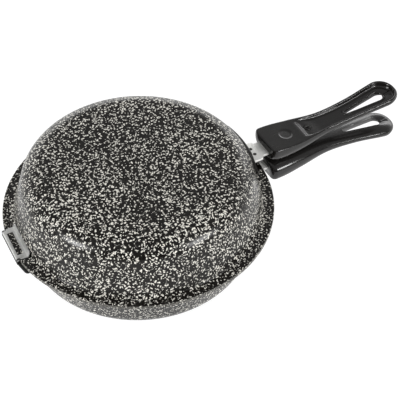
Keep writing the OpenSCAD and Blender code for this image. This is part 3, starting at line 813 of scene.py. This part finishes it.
# %% Lay the lines across the handle
def steps_between(a, b, step):
    n = max(1, round((b - a) / step))
    return [a + (b - a) * k / n for k in range(n)]


def handle_lines():
    """Pairs of points in plan: where a line starts at the middle, and where it ends at the outline."""
    coarse = 1
    fan = 36
    dimple_from, dimple_to = DIMPLE_X - DIMPLE_R - 1, DIMPLE_X + DIMPLE_R + 1
    slot_tip = SLOT_START - SLOT_NARROW
    collar_from = slot_tip - COLLAR - 1
    xs = [HANDLE_START + d for d in (0, 0.15, 0.5, 1, 1.8, 3)]
    xs += steps_between(HANDLE_START + 4.2, dimple_from, 1.2 * coarse)
    xs += steps_between(dimple_from, dimple_to, 0.5 * coarse)
    xs += steps_between(dimple_to, RECESS_START - 1, 1.5 * coarse)
    xs += steps_between(RECESS_START - 1, RECESS_START + 2, 0.25)
    xs += steps_between(RECESS_START + 2, RECESS_START + 8, 0.7 * coarse)
    xs += steps_between(RECESS_START + 8, collar_from, 1.6 * coarse)
    xs += steps_between(collar_from, slot_tip, 0.4)
    lines = [((x, 0), (x, near_half(x))) for x in xs]
    xs = [SLOT_START - SLOT_NARROW * cos(radians(turn)) for turn in range(0, 90, 10)]
    xs += steps_between(SLOT_START, SLOT_END - 1, 1.4 * coarse)
    lines += [((x, slot_half(x)), (x, near_half(x))) for x in xs]
    for k in range(fan + 1):
        # the slot's end and the loop have slightly different centres
        turn = radians(90 * k / fan)
        lines.append(((SLOT_END + SLOT_WIDE * sin(turn), SLOT_WIDE * cos(turn)),
            (LOOP_X + LOOP_HALF * sin(turn), LOOP_HALF * cos(turn))))
    return lines


print(len(handle_lines()), "lines across half a handle")

# %% [markdown]
# Along each line the points lie at chosen marks: close together at the slot's collar and where the
# recess meets the rim, and evenly spaced on the floor between. The side below the rim is a small
# quarter round, a nearly upright stretch, and then a full curve in to the crown.

# %% Give each line its section
COLLAR_MARKS = (0, 0.2, 0.45, 0.8, 1.3, 1.8, 2.2, 2.6, 3.0, 3.6)
FLOOR_MARKS = 22
RIM_MARKS = (-1.65, -1.45, -1.2, -0.95, -0.75, -0.6, -0.48, -0.38, -0.3, -0.2, -0.1, 0,
    0.06, 0.15, 0.27, 0.42, 0.6, 0.8, 1.0)
TUCK, EDGE_R, NEAR_EDGE_R, NEAR_CROWN_RISE = 0.03, 1.5, 0.8, 0.25
LOOP_RIM_DROP, LOOP_CROWN_RISE = 1.6, 3.4


def rounded(v):
    return copysign(abs(v) ** ROUNDNESS, v)


def side_profile(half_width, tall):
    """Pairs of (distance inwards, distance down) from the rim round to the middle of the crown."""
    tuck, wide_at = TUCK * half_width, SIDE_DEPTH * tall
    below = tall - wide_at
    edge = [(tuck + EDGE_R * (1 - sin(t)), EDGE_R * (1 - cos(t)))
        for t in (radians(88) * k / 7 for k in range(1, 8))]
    upright = [(tuck * (1 - sin(pi / 2 * k / 5)), EDGE_R + (wide_at - EDGE_R) * k / 5)
        for k in range(1, 6)]
    crown = [(half_width * (1 - rounded(cos(t))), wide_at + below * rounded(sin(t)))
        for t in (pi / 2 * k / 18 for k in range(1, 19))]
    return edge + upright + crown


def handle_ring(inner, outer):
    """One closed ring of points: outer face from the middle outwards, side, crown back, slot wall."""
    (ax, ay), (bx, by) = inner, outer
    length = hypot(bx - ax, by - ay)
    round_end = max(0, min(1, 1 - by / LOOP_HALF)) if bx > LOOP_X else 0
    near = max(0, CORNER_ROUND - (bx - HANDLE_START))
    crown = along(bx, CROWN) + near * NEAR_CROWN_RISE + round_end * LOOP_CROWN_RISE
    lowered = max(0, 1 - (bx - HANDLE_START) / NEAR_EDGE_R) * NEAR_EDGE_R + round_end * LOOP_RIM_DROP
    top = along(bx, OUTER) - lowered
    half_width = by if bx <= LOOP_X else LOOP_HALF
    rim_at, first = length - RIM_WALL, COLLAR_MARKS[-1]
    marks = [*COLLAR_MARKS]
    marks += [first + (rim_at - 2 - first) * (k + 1) / FLOOR_MARKS for k in range(FLOOR_MARKS)]
    marks += [rim_at + d for d in RIM_MARKS] + [length - half_width * TUCK - EDGE_R]
    points = []
    for m in marks:
        x, y = ax + (bx - ax) * m / length, ay + (by - ay) * m / length
        points.append((x, y, outer_height(x, y) - lowered))
    for inwards, down in side_profile(half_width, top - crown):
        m = max(0, length - inwards)
        points.append((ax + (bx - ax) * m / length, ay + (by - ay) * m / length, top - down))
    return points


print(len(handle_ring(*handle_lines()[0])), "points on each line")

# %% [markdown]
# The rings are joined into half a handle, the wall of the slot closes each ring, and a mirrored
# copy makes the handle whole. Then the deep round hole for the screw is cut, with a rounded mouth.

# %% Build the handles
MIDDLE_LINE = 0.01
FLOOR_AT_SCREW, HOLE_R, HOLE_TOP = 14.75, WASHER_R + 0.1, 20.0
HOLE_MOUTH = ((0, -1.15), (0.15, -0.55), (0.5, -0.15), (0.9, 0))


def build_handle():
    rings = [handle_ring(*line_ends) for line_ends in handle_lines()]
    n = len(rings[0])
    points = [p for ring in rings for p in ring]
    faces = []
    for i in range(len(rings) - 1):
        a, b = i * n, (i + 1) * n
        faces += [(a + j, a + j + 1, b + j + 1, b + j) for j in range(n - 1)]
        # the wall of the slot joins the last point to the first; on the middle line it is left open
        if max(rings[i][0][1], rings[i + 1][0][1]) > MIDDLE_LINE:
            faces.append((a + n - 1, a, b, b + n - 1))
    faces.append(tuple(range(n)))
    mirrored = [(x, -y, h) for x, y, h in points]
    return join([(points, faces), (mirrored, faces)])


def screw_hole():
    wall = [(HOLE_R + out, FLOOR_AT_SCREW + up) for out, up in HOLE_MOUTH]
    floor, top = [(AXIS_R, SCREW_SEAT), (HOLE_R, SCREW_SEAT)], [(wall[-1][0], HOLE_TOP), (AXIS_R, HOLE_TOP)]
    return lathe(floor + wall + top, 48, (SCREW_X, 0, 0))


for half in HALVES:
    grip = half_piece(half, "grip", build_handle(), RESIN, "handle", 60)
    combine(grip, draw("screw_hole", outward(half, screw_hole())), "DIFFERENCE")

# %% [markdown]
# ## The hinge
# Opposite the handles, a zinc-plated leaf lies on the upper rim and a black one under the lower
# rim. The upper leaf is rolled round a pin, and the lower one holds the pin's ends in two ears.
# Both leaves are bent strips, so we draw the bend once as a section with a real thickness and a
# real bend radius, and stretch it along the hinge. Beside the hinge the lower leaf carries on
# along the rim as a small black tab.

# %% Sections of the hinge, drawn with x outwards from the pan and h away from the rim plane
HINGE_LEN, BARREL_LEN, LEAF_T, LOWER_LEAF_T, LEAF_LEG = 42.0, 38.0, 0.8, 1.2, 5.6
PIN_R, PIN_CLEAR, PIN_HEAD_R, PIN_HEAD_T = 0.8, 0.06, 1.3, 0.5
HALF_LEN, HALF_BARREL = HINGE_LEN / 2, BARREL_LEN / 2
BARREL_R = PIN_R + PIN_CLEAR + LEAF_T
HINGE_X = (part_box("hinge_pin")[0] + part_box("hinge_pin")[1]).dot(HINGE_OUT) / 2 / MM
HINGE_H = FLANGE_T + LEAF_T - BARREL_R
HINGE_TURN = Matrix.Rotation(HINGE_AT, 3, "Z")
LEAF_OFF_WALL, TIGHTEST_BEND = 0.03, 0.15


def at_hinge(half, shape):
    points, faces = shape
    return outward(half, ([tuple(HINGE_TURN @ Vector(p)) for p in points], faces))


def strip_section(t, reach, cut_back):
    """A bent strip of thickness t: up the wall, round the bend, and out over the flange."""
    reach -= cut_back
    bend = (off_wall(FLANGE_T + FLANGE_FILLET, FLANGE_FILLET), FLANGE_T + FLANGE_FILLET)
    inner = arc(bend, FLANGE_FILLET, 180 + LEAN, 270, 8)
    outer = arc(bend, max(TIGHTEST_BEND, FLANGE_FILLET - t), 270, 180 + LEAN, 8)
    leg = FLANGE_T + LEAF_LEG - cut_back
    top_in, top_out = (off_wall(leg, LEAF_OFF_WALL), leg), (off_wall(leg, t), leg - 0.1)
    return [top_in] + inner + [(reach, FLANGE_T), (reach, FLANGE_T + t)] + outer + [top_out]


def strip(t, reach, half_length, corner_r):
    """A bent strip with rounded corners: its section is cut back towards both ends."""
    turns = [pi / 2 * k / 5 for k in range(6)]
    ends = [(half_length - corner_r + corner_r * sin(a), corner_r * (1 - cos(a))) for a in turns]
    stations = [(-y, back) for y, back in reversed(ends)] + ends
    return loft([[(x, y, h) for x, h in strip_section(t, reach, back)] for y, back in stations])


def bar(name, section, ends):
    """A straight bar along the hinge, to be joined to a leaf or cut out of it."""
    return draw(name, at_hinge("upper", loft([[(x, y, h) for x, h in section] for y in ends])))


print(f"hinge pin {HINGE_X:.2f} mm from the pan's axis")

# %% [markdown]
# A strip that is only stretched has knife edges. A Bevel modifier rounds every edge sharper than
# forty degrees, after the boolean has cut the window, so that the window's edges are rounded too.

# %% Build the upper leaf with its barrel and its window
WINDOW_LEN, WINDOW_W, WINDOW_EDGE = 30.0, 6.0, 1.6
SOFT_EDGE, SHARP_ANGLE = 0.22, 40


def soften(thing):
    modifier = thing.modifiers.new("rounded edges", "BEVEL")
    modifier.width, modifier.segments, modifier.limit_method = SOFT_EDGE * MM, 2, "ANGLE"
    modifier.angle_limit = radians(SHARP_ANGLE)


bent = at_hinge("upper", strip(LEAF_T, FLAT_X, HALF_LEN, HALF_LEN - HALF_BARREL))
leaf = piece("zinc_leaf", bent, ZINC, "upper_half", "hinge_leaf_upper", 40)
roll = [(FLAT_X - 1, FLANGE_T), (HINGE_X - 0.6 * BARREL_R, FLANGE_T)]
roll += arc((HINGE_X, HINGE_H), BARREL_R, 200, 450, 20) + [(FLAT_X - 1, FLANGE_T + LEAF_T)]
combine(leaf, bar("barrel", roll, (-HALF_BARREL, HALF_BARREL)), "UNION")
near, far = FLANGE_R - WINDOW_EDGE - WINDOW_W, FLANGE_R - WINDOW_EDGE
window = [(near, FLANGE_T - 1), (far, FLANGE_T - 1), (far, FLANGE_T + 3), (near, FLANGE_T + 3)]
combine(leaf, bar("window", window, (-WINDOW_LEN / 2, WINDOW_LEN / 2)), "DIFFERENCE")
soften(leaf)
print("window", WINDOW_LEN, "by", WINDOW_W, "mm")

# %% [markdown]
# The lower leaf has square corners. Its ears rise beside the barrel, and its tab follows the round
# rim, a few millimetres further out, to a rounded corner.

# %% Build the lower leaf with its ears and its tab
EAR_T, EAR_GAP, TAB_PAST, TAB_LEN, TAB_STEPS = 1.2, 0.3, 2.6, 15.0, 12
TAB_R, TAB_IN = FLANGE_R + TAB_PAST, RIM_R + FLANGE_FILLET + WALL_T
EAR_Y, LEAF_LOW = HALF_BARREL + EAR_GAP, -FLANGE_T - LOWER_LEAF_T


def tab_outline():
    """The tab in plan: out along the rim, round its corner, and back beside the wall."""
    steps = [EAR_Y + (EAR_T + TAB_LEN) * k / TAB_STEPS for k in range(TAB_STEPS + 1)]
    outer = [(sqrt(TAB_R ** 2 - y * y), y) for y in steps]
    x, y = outer.pop()
    corner = [(x + 0.35, y - 2.2), (x - 0.5, y - 0.6), (x - 2, y)]
    return outer + corner + [(sqrt(TAB_IN ** 2 - y * y), y) for y in reversed(steps)]


bent = at_hinge("lower", strip(LOWER_LEAF_T, HINGE_X + BARREL_R, HALF_LEN, 0.3))
black_leaf = piece("black_leaf", bent, LEAF_BLACK, "lower_half", "hinge_leaf_lower", 40)
ear = arc((HINGE_X, HINGE_H), BARREL_R, 0, 180, 14)
ear += [(HINGE_X - BARREL_R, LEAF_LOW), (HINGE_X + BARREL_R, LEAF_LOW)]
for ends in ((-EAR_Y - EAR_T, -EAR_Y), (EAR_Y, EAR_Y + EAR_T)):
    combine(black_leaf, bar("ear", ear, ends), "UNION")
tab = loft([[(x, y, h) for x, y in tab_outline()] for h in (LEAF_LOW, LEAF_LOW + LOWER_LEAF_T)])
combine(black_leaf, draw("tab", at_hinge("upper", tab)), "UNION")
soften(black_leaf)
print("tab", TAB_LEN, "mm long")

# %% [markdown]
# The pin is a long rivet laid on its side: the same section as the other rivets, turned level.

# %% Build the pin
pin_half = EAR_Y + EAR_T
section = rivet_section(PIN_R, PIN_HEAD_R, PIN_HEAD_T, -pin_half, pin_half)
turned = lathe(section, 24, (HINGE_X, 0, HINGE_H), Matrix.Rotation(-pi / 2, 3, "X"))
piece("riveted_pin", at_hinge("upper", turned), PIN, "lower_half", "hinge_pin", 40)

# %% [markdown]
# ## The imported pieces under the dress
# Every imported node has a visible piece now, so none of them shows. They still get the finish of
# the piece that stands for them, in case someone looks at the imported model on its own.

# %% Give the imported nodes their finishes
FINISHES = {
    "pan": ENAMEL, "mount_plate": BRACKET, "plate_rivets": RIVET, "tongue_rivets": SCREW,
    "tongue": TONGUE_STEEL, "handle": RESIN, "handle_screw": SCREW, "screw_washer": ZINC,
    "square_nut": ZINC, "hinge_leaf_upper": ZINC, "hinge_leaf_lower": LEAF_BLACK, "hinge_pin": PIN,
}
for name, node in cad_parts.items():
    finish = FINISHES.get(name) or FINISHES[name.split("_", 1)[1]]
    node.data.materials.clear()
    node.data.materials.append(finish)
print("finishes given to", len(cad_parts), "packed nodes")

# %% [markdown]
# ## The floor
# The pan stands on a pale, plain floor. To the camera and in reflections the floor glows white, so
# that it merges with the background. The glow doesn't cover it quite, so that a soft shadow stays.
# For the light itself the floor is an ordinary pale surface.

# %% Make the floor
FLOOR_GLOW, GLOW_SHARE, FLOOR_HALF, FLOOR_DROP = 1.5, 0.6, 6.0, 0.0003


def studio_floor():
    f = Finish("studio_floor")
    mottle = f.noise(60.0)
    f.shine(Base_Color=f.mix(mottle, (0.62, 0.62, 0.62), (0.66, 0.66, 0.66)), Roughness=0.6)
    camera_ray = f.node("LightPath", out="Is Camera Ray")
    rays = camera_ray.socket.node.outputs
    seen = camera_ray + Value(f, rays["Is Glossy Ray"]) + Value(f, rays["Is Transmission Ray"])
    glow = f.node("Emission", None, {"Color": (1, 1, 1, 1), "Strength": FLOOR_GLOW})
    lit = Value(f, f.shader.outputs[0])
    both = f.node("MixShader", None, {0: seen * GLOW_SHARE, 1: lit, 2: glow})
    f.feed(f.tree.nodes["Material Output"].inputs["Surface"], both)
    return f.material


mesh = bpy.data.meshes.new("floor")
made = bmesh.new()
bmesh.ops.create_grid(made, x_segments=8, y_segments=8, size=FLOOR_HALF)
made.to_mesh(mesh)
made.free()
mesh.materials.append(studio_floor())
floor = add_object("floor", mesh)
floor.location.z = -FLOOR_DROP
print("floor", 2 * FLOOR_HALF, "m wide")

# %% [markdown]
# ## The light
# Black enamel mostly shows what it mirrors. Two small soft boxes stand low in front, left and right,
# for the hazy spots on the shoulder and the soft lines on the handles, and a long strip stands
# behind. The background is bright low down behind the pan, dim overhead and dark in front. All
# places are given as the photographer sees them, who looks along 90 degrees.

# %% Hang the soft boxes and paint the background
PHOTO_TURN = radians(29.4)
SKY_FRONT, SKY_BACK, SKY_TOP = 0.03, 1.1, 0.42


class Sky(Finish):
    """The same node helpers, for the world's background instead of a material."""
    library, shader_name, coordinates = bpy.data.worlds, "Background", "Generated"


def photo_direction(azimuth, elevation):
    turn, rise = radians(azimuth) - PHOTO_TURN, radians(elevation)
    return Vector((cos(rise) * cos(turn), cos(rise) * sin(turn), sin(rise)))


def studio_sky():
    f = Sky("studio_sky")
    up = f.vector("DOT_PRODUCT", f.place, (0, 0, 1), out="Value")
    ahead = f.vector("DOT_PRODUCT", f.place, tuple(photo_direction(90, 0)), out="Value")
    horizon = f.step(ahead, -0.25, 0.35, SKY_FRONT, SKY_BACK)
    high = f.step(up, 0.22, 0.62)
    return f.shine(Color=(1, 1, 1, 1), Strength=horizon * (1 - high) + high * SKY_TOP)


def soft_box(name, azimuth, elevation, distance, size, power):
    lamp = bpy.data.lights.new(name, "AREA")
    lamp.shape, lamp.size, lamp.size_y, lamp.energy = "RECTANGLE", size[0], size[1], power
    thing = add_object(name, lamp)
    aim = photo_direction(azimuth, elevation)
    thing.location = aim * distance + Vector((0, 0, RIM_Z))
    thing.rotation_euler = aim.to_track_quat("Z", "Y").to_euler()
    print(name, power, "W")


soft_box("left_box", azimuth=-144, elevation=20, distance=1.6, size=(0.36, 0.24), power=16)
soft_box("right_box", azimuth=-34, elevation=22, distance=1.6, size=(0.6, 0.24), power=13.5)
soft_box("back_strip", azimuth=80, elevation=13, distance=2.2, size=(3.2, 0.45), power=11)
bpy.context.scene.world = studio_sky()

# %% [markdown]
# ## The camera
# The camera was fitted to the outlines of the base, the shoulder and the rim in the photograph. It
# stands about 1.4 m away and looks down by about 45 degrees, with a long lens.

# %% Place the camera
LENS, SENSOR, CAMERA_DOWN, CAMERA_ROLL = 133.2, 36, 45.3, -0.14
CAMERA_PLACE = (58.81, -994.88, 1011.83)


def photo_place(x, y, z):
    """A place in the photographer's frame (millimetres from the rim's centre) in the pan's frame."""
    c, s = cos(PHOTO_TURN), sin(PHOTO_TURN)
    return Vector((x * c + y * s, -x * s + y * c, z)) * MM + Vector((0, 0, RIM_Z))


camera = add_object("camera", bpy.data.cameras.new("camera"))
camera.data.lens, camera.data.sensor_width = LENS, SENSOR
camera.location = photo_place(*CAMERA_PLACE)
camera.rotation_mode = "QUATERNION"
heading = Matrix.Rotation(-PHOTO_TURN, 3, "Z") @ Matrix.Rotation(radians(90 - CAMERA_DOWN), 3, "X")
camera.rotation_quaternion = (heading @ Matrix.Rotation(radians(CAMERA_ROLL), 3, "Z")).to_quaternion()
bpy.context.scene.camera = camera
bpy.context.scene.view_settings.view_transform = "Standard"
print("camera at", tuple(round(c, 3) for c in camera.location))
